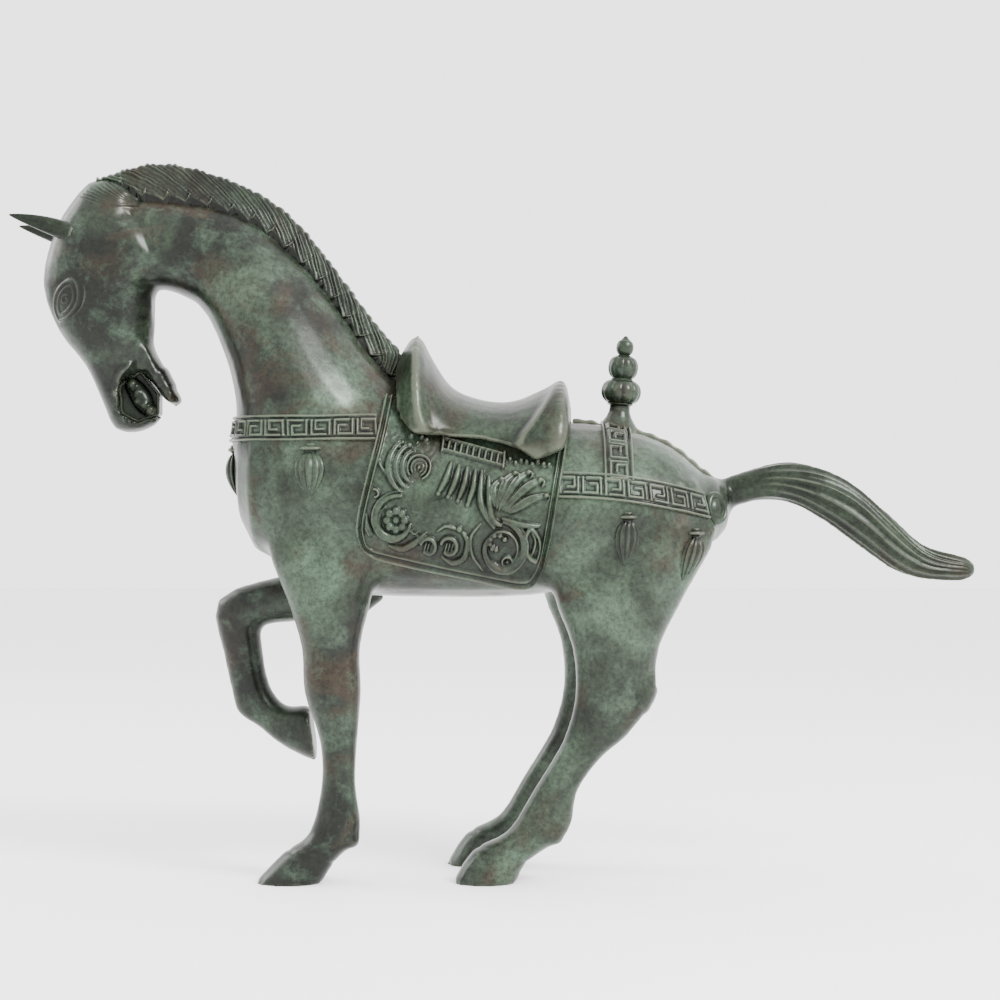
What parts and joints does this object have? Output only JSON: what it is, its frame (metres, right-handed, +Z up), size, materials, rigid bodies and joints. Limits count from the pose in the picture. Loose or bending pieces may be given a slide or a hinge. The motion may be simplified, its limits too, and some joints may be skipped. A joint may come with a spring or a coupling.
{
  "type": "bronze horse statue",
  "caption": "Cast horse figure in parade saddlery, stepping with one fore leg raised, neck arched and tail streaming; a free-standing ornament.",
  "frame": {"origin": "on the ground, under the middle of the figure's bounding box", "axes": "+X from the head to the tail, the figure's left side faces -Y, +Z up"},
  "size_m": [0.5192, 0.1148, 0.3832],
  "materials": {
    "body_bronze": "green-brown patina over cast bronze, waxed",
    "saddle_bronze": "smooth green-brown patina, polished by handling",
    "relief_bronze": "dark patina in the hollows with lighter worn ridges",
    "mane_bronze": "dark patina with lighter ridges along each lock",
    "tail_bronze": "dark patina with lighter ridges along each lock",
    "finial_bronze": "dark patina with worn high spots",
    "mouth_bronze": "dark patina in a deep recess",
    "raw_bronze": "bare bronze, hidden inside"
  },
  "bodies": {
    "root": {"torso_casting": "body_bronze", "neck_casting": "body_bronze", "head_casting": "body_bronze", "tongue_and_teeth": "mouth_bronze", "mane_crest": "mane_bronze", "near_ear": "body_bronze", "far_ear": "body_bronze", "near_fore_leg": "body_bronze", "far_fore_leg": "body_bronze", "near_hind_leg": "body_bronze", "far_hind_leg": "body_bronze", "tail_casting": "tail_bronze", "saddle": "saddle_bronze", "near_saddle_cloth": "relief_bronze", "far_saddle_cloth": "relief_bronze", "breast_band": "relief_bronze", "near_crupper_band": "relief_bronze", "far_crupper_band": "relief_bronze", "croup_strap": "relief_bronze", "front_spine_strap": "relief_bronze", "rear_spine_strap": "relief_bronze", "finial": "finial_bronze", "finial_nut": "raw_bronze", "chest_tassel_near": "relief_bronze", "chest_tassel_far": "relief_bronze", "chest_tassel_front": "relief_bronze", "croup_tassel_near": "relief_bronze", "croup_tassel_far": "relief_bronze", "dock_tassel_near": "relief_bronze", "dock_tassel_far": "relief_bronze", "near_rosette": "relief_bronze", "far_rosette": "relief_bronze", "joint_pins": "raw_bronze", "core_plugs": "raw_bronze"}
  },
  "joints": []
}
